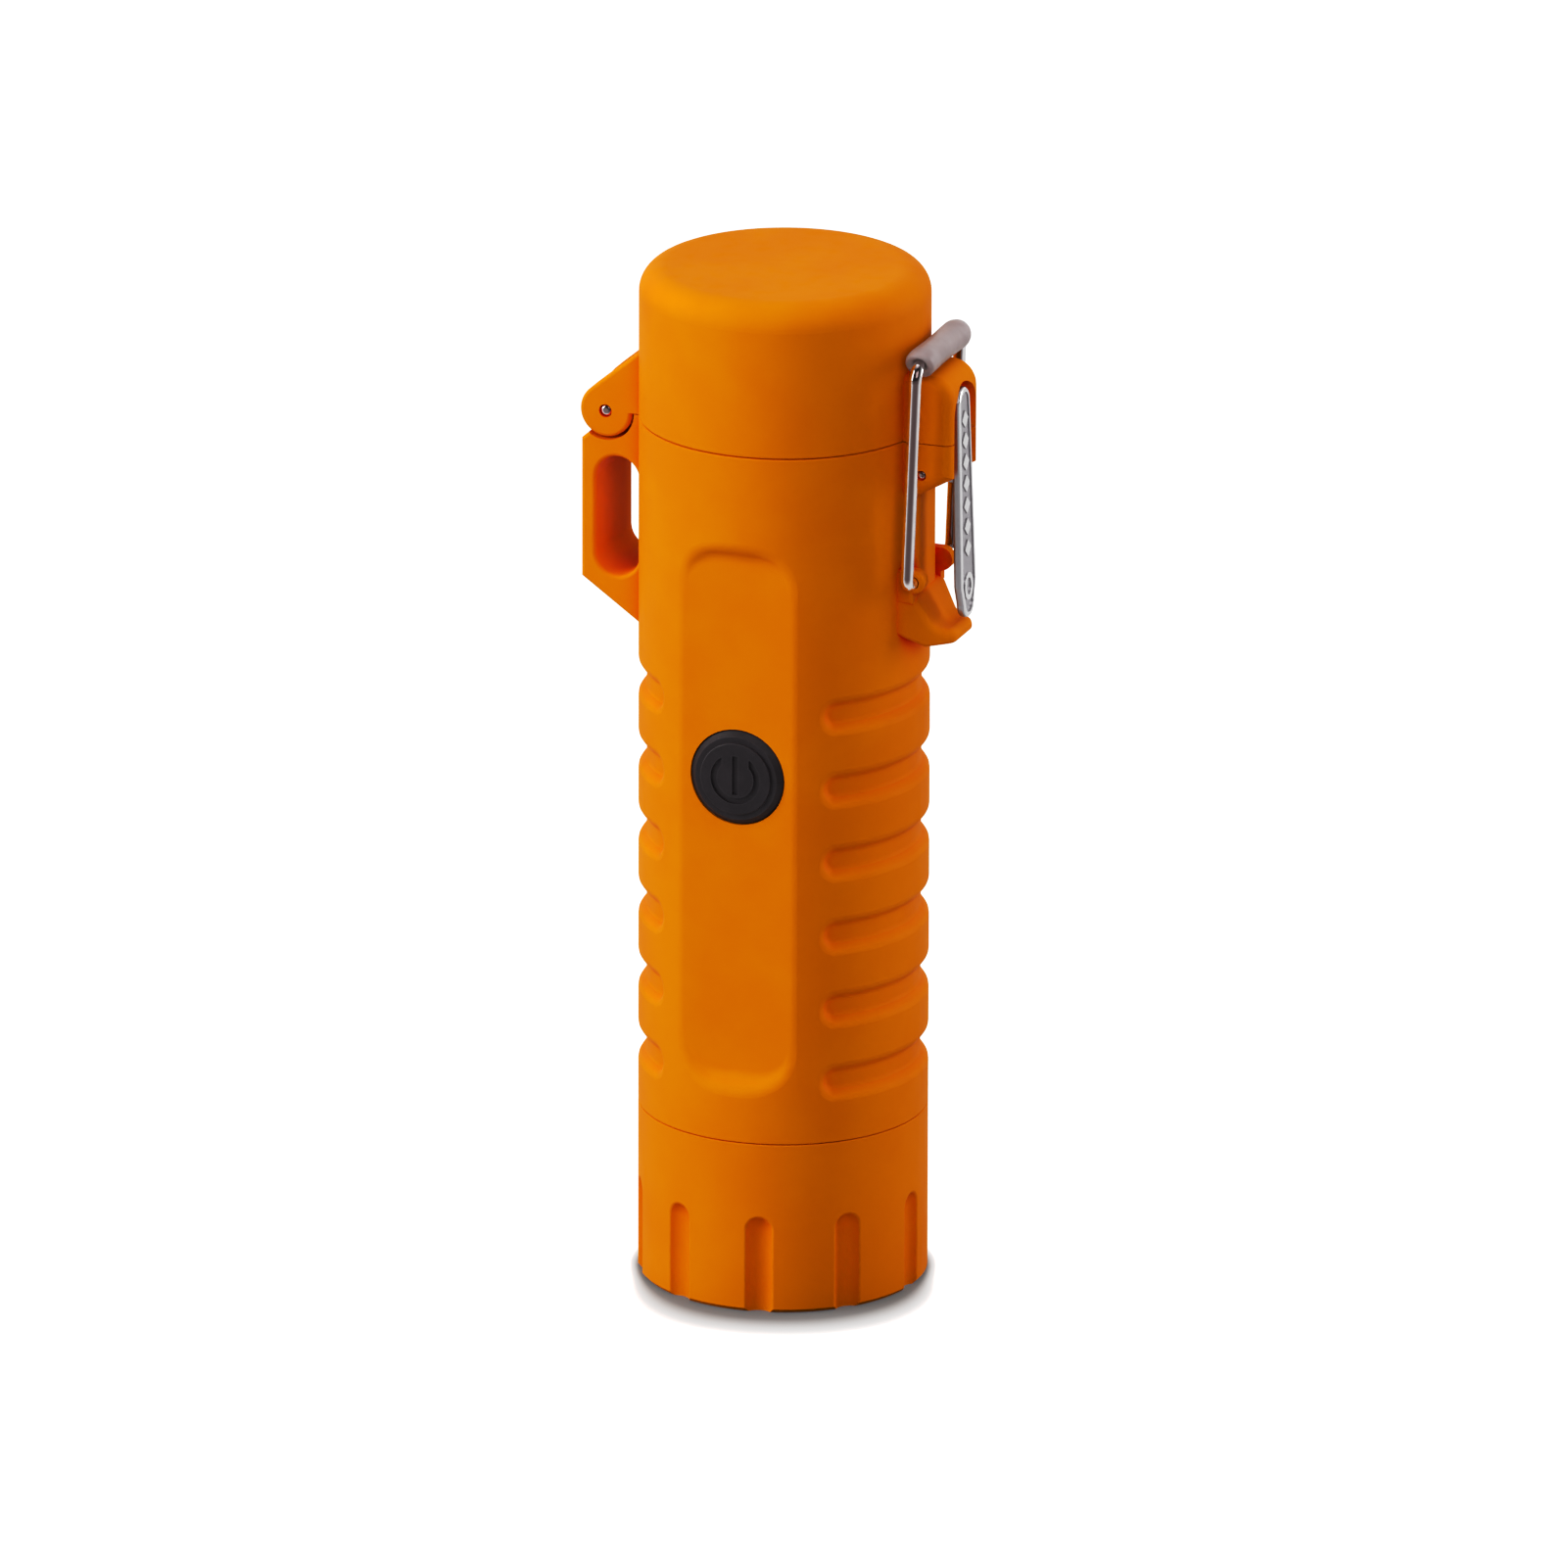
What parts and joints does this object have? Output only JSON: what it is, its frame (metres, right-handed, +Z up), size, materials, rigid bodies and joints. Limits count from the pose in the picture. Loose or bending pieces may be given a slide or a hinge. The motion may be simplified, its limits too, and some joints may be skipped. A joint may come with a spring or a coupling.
{
  "type": "pocket arc lighter with torch",
  "caption": "Waterproof electric arc lighter: round barrel with hinged lid, latch plate, swing-over wire bail, push button and torch in the base.",
  "frame": {"origin": "centre of the base ring, on the ground", "axes": "+Z up the barrel through the lid, +X to the latch, -X to the lid hinge, -Y to the push button"},
  "size_m": [0.038, 0.028, 0.1015],
  "materials": {
    "orange_shell": "matte moulded plastic with a soft-touch coat",
    "black_rubber": "matte rubber",
    "seal_rubber": "smooth silicone rubber",
    "soft_sleeve": "translucent grey-white silicone",
    "polished_steel": "polished stainless steel",
    "spring_steel": "drawn spring wire",
    "screw_steel": "zinc-plated steel",
    "black_plastic": "fine moulded texture",
    "liner_plastic": "heat-proof moulded plastic",
    "ceramic": "unglazed white ceramic",
    "tungsten": "ground tungsten",
    "board_green": "solder mask",
    "led_white_board": "white solder mask on metal",
    "cell_wrap": "shrink wrap",
    "nickel": "nickel strip",
    "coil_wrap": "taped winding",
    "wire_red": "silicone wire insulation",
    "port_plastic": "moulded plastic",
    "aluminium_plug": "turned aluminium",
    "reflector_silver": "vacuum-metallised plastic",
    "led_phosphor": "phosphor dome",
    "clear_lens": "clear polycarbonate"
  },
  "bodies": {
    "body": {"body_shell": "orange_shell", "hinge_pin": "polished_steel", "latch_pin": "polished_steel", "tact_switch": "black_plastic", "circuit_board": "board_green", "board_screws": "screw_steel", "battery_cell": "cell_wrap", "battery_tabs": "nickel", "arc_transformer": "coil_wrap", "electrode_leads": "wire_red", "electrodes": "tungsten", "arc_head": "ceramic", "neck_collar": "black_plastic", "neck_o_ring": "seal_rubber", "frame_screws": "screw_steel", "charge_port": "nickel", "port_tongue": "port_plastic", "inner_frame": "black_plastic", "led_leads": "wire_red", "heat_spreader": "aluminium_plug", "led_board": "led_white_board", "led": "led_phosphor", "reflector": "reflector_silver", "lens_gasket": "seal_rubber", "lens": "clear_lens", "torch_head": "orange_shell", "head_o_ring": "seal_rubber"},
    "lid": {"cap_shell": "orange_shell", "cap_liner": "liner_plastic"},
    "latch": {"latch_plate": "polished_steel", "latch_spring": "spring_steel"},
    "bail": {"bail_wire": "polished_steel", "bail_sleeve": "soft_sleeve"},
    "button": {"button_cap": "black_rubber", "switch_stem": "black_plastic"}
  },
  "joints": [
    {"name": "lid_hinge", "type": "hinge", "parent": "body", "child": "lid", "pos_m": [-0.0165, 0, 0.0864], "axis": [0, -1, 0], "range_deg": [0, 125]},
    {"name": "latch_press", "type": "hinge", "parent": "body", "child": "latch", "pos_m": [0.0153, 0, 0.0832], "axis": [0, 1, 0], "range_deg": [0, 6], "stiffness_Nm_per_rad": 0.004, "deforming": ["latch_spring"]},
    {"name": "bail_swing", "type": "hinge", "parent": "body", "child": "bail", "pos_m": [0.01475, 0, 0.0726], "axis": [0, 1, 0], "range_deg": [0, 172], "deforming": ["bail_wire", "bail_sleeve"]},
    {"name": "button_press", "type": "slide", "parent": "body", "child": "button", "axis": [0, 1, 0], "range_m": [0, 0.0004], "stiffness_N_per_m": 100}
  ]
}
